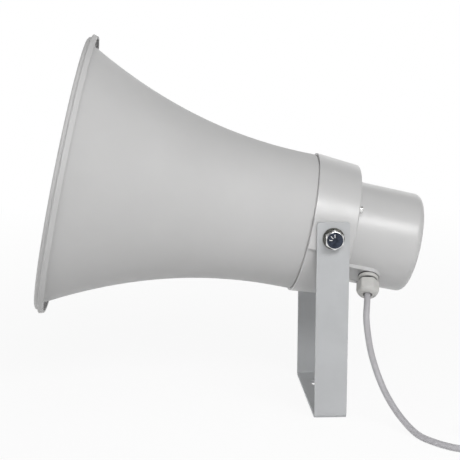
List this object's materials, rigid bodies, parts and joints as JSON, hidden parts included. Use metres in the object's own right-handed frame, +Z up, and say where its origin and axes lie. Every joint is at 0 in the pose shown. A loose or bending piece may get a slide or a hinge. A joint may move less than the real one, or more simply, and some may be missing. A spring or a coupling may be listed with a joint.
{
  "type": "pa horn speaker",
  "caption": "Folded horn loudspeaker with flared mouth, rear driver cap, cable gland and lead, tilting on a steel U-bracket.",
  "frame": {"origin": "middle of the bracket base's underside, where it is screwed down", "axes": "+Z up from the base through the pivot line, the horn's mouth toward -X, pivot line along Y"},
  "size_m": [0.4667, 0.3093, 0.353],
  "materials": {
    "grey_abs": "light warm-grey moulded plastic, satin",
    "grey_paint": "cool light-grey powder coat",
    "bright_steel": "bright zinc or stainless, polished faces",
    "brass": "machined",
    "grey_nylon": "light grey nylon, fine matt",
    "black_rubber": "black rubber",
    "cast_zinc": "die-cast light metal",
    "phenolic": "amber resin film",
    "copper": "bare or enamelled copper",
    "plated_steel": "zinc-plated mild steel",
    "ferrite": "dark sintered ferrite",
    "laminations": "varnished steel laminations",
    "yellow_tape": "yellow winding tape",
    "white_nylon": "natural nylon",
    "grey_sheath": "light grey cable sheath",
    "core_insulation": "core insulation"
  },
  "bodies": {
    "bracket": {"bracket": "grey_paint", "speaker_cable": "grey_sheath", "cable_coil": "grey_sheath", "cable_tail": "grey_sheath", "cable_cores": "core_insulation", "core_tips": "copper", "coil_tie": "white_nylon"},
    "horn": {"bell": "grey_abs", "rear_housing": "grey_abs", "driver_cap": "grey_abs", "reflector": "grey_abs", "tone_arm": "grey_abs", "pivot_bolts": "bright_steel", "flat_washers": "bright_steel", "spring_washers": "bright_steel", "thread_inserts": "brass", "cap_screws": "bright_steel", "driver_screws": "bright_steel", "transformer_screws": "bright_steel", "reflector_screw": "bright_steel", "gland_body": "grey_nylon", "gland_nut": "grey_nylon", "lock_nut": "grey_nylon", "gland_seal": "black_rubber", "gland_washer": "black_rubber", "bell_gasket": "black_rubber", "cap_gasket": "black_rubber", "driver_gasket": "black_rubber", "surround": "black_rubber", "throat_plate": "cast_zinc", "phase_plug": "cast_zinc", "top_plate": "plated_steel", "yoke": "plated_steel", "magnet": "ferrite", "transformer_bracket": "plated_steel", "transformer_core": "laminations", "transformer_winding": "yellow_tape", "terminal_block": "white_nylon", "inner_lead": "grey_sheath", "inner_cores": "core_insulation"},
    "diaphragm": {"diaphragm": "phenolic", "voice_coil": "copper"}
  },
  "joints": [
    {"name": "horn_tilt", "type": "hinge", "parent": "bracket", "child": "horn", "pos_m": [0, 0, 0.1703], "axis": [0, 1, 0], "range_deg": [-61.8, 78.2], "deforming": ["speaker_cable"]},
    {"name": "diaphragm_travel", "type": "slide", "parent": "horn", "child": "diaphragm", "axis": [-0.9789, 0, 0.2045], "range_m": [-0.0004, 0.0004], "stiffness_N_per_m": 3000, "deforming": ["surround"]}
  ]
}
